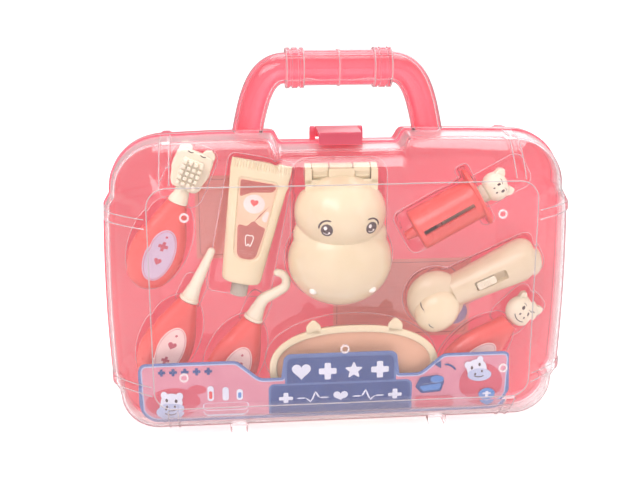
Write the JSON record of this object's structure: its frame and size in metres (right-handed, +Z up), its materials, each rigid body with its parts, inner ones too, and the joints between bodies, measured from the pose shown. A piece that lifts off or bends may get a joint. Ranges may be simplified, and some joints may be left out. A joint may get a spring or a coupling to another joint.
{
  "type": "toy doctor case",
  "caption": "Hinged toy carry case with a clear cover, holding play dental and medical tools and a jaw model in a formed tray.",
  "frame": {"origin": "centre of the whole case's footprint, on the plane its feet stand on", "axes": "+X along the case's width to the viewer's right, +Y towards the back of the case, +Z up through the carry handle"},
  "size_m": [0.28, 0.084, 0.2346],
  "materials": {
    "shell_plastic": "glossy",
    "clear_plastic": "clear",
    "tray_plastic": "clear",
    "tool_plastic": "glossy",
    "cream_plastic": "glossy",
    "white_plastic": "satin",
    "tooth_plastic": "glossy",
    "cap_plastic": "satin",
    "seal_rubber": "matte",
    "pin_steel": "satin",
    "card_print": "printed",
    "leaflet_paper": "printed",
    "label_lilac": "printed",
    "label_blush": "printed",
    "label_brown": "printed",
    "label_red": "printed"
  },
  "bodies": {
    "case": {"rear_shell": "shell_plastic", "tool_tray": "tray_plastic", "leaflet_left": "leaflet_paper", "leaflet_right": "leaflet_paper", "toothbrush_handle": "tool_plastic", "toothbrush_label": "label_lilac", "toothbrush_head": "white_plastic", "toothbrush_bristles": "white_plastic", "pick_handle": "tool_plastic", "pick_label": "label_blush", "pick_tip": "white_plastic", "hook_handle": "tool_plastic", "hook_label": "label_blush", "hook_tip": "white_plastic", "thermometer_handle": "tool_plastic", "thermometer_label": "label_blush", "thermometer_face": "white_plastic", "paste_tube": "cream_plastic", "paste_label": "label_brown", "paste_cap": "cap_plastic", "syringe_barrel": "tool_plastic", "light_body": "cream_plastic", "light_head": "cream_plastic", "light_cap": "cream_plastic", "lower_jaw": "cream_plastic", "lower_teeth": "tooth_plastic", "jaw_pin": "pin_steel", "dish": "cream_plastic", "dish_label": "label_red"},
    "cover": {"front_cover": "clear_plastic", "label_card": "card_print"},
    "case_latch": {"latch": "shell_plastic"},
    "jaw_top": {"upper_jaw": "cream_plastic", "upper_teeth": "tooth_plastic"},
    "plunger": {"syringe_plunger": "white_plastic", "syringe_piston": "seal_rubber", "plunger_head": "white_plastic"},
    "switch_button": {"light_switch": "white_plastic"}
  },
  "joints": [
    {"name": "cover_hinge", "type": "hinge", "parent": "case", "child": "cover", "pos_m": [0, 0, 0.00235], "axis": [1, 0, 0], "range_deg": [0, 180]},
    {"name": "latch_hinge", "type": "hinge", "parent": "case", "child": "case_latch", "pos_m": [0, 0.0095, 0.18365], "axis": [-1, 0, 0], "range_deg": [0, 100]},
    {"name": "jaw_hinge", "type": "hinge", "parent": "case", "child": "jaw_top", "pos_m": [0.001, -0.006, 0.162], "axis": [-1, 0, 0], "range_deg": [0, 6]},
    {"name": "plunger_slide", "type": "slide", "parent": "case", "child": "plunger", "axis": [0.8746, 0, 0.4848], "range_m": [0, 0.015]},
    {"name": "switch_slide", "type": "slide", "parent": "case", "child": "switch_button", "axis": [0.9114, 0, 0.4115], "range_m": [0, 0.0064]}
  ]
}
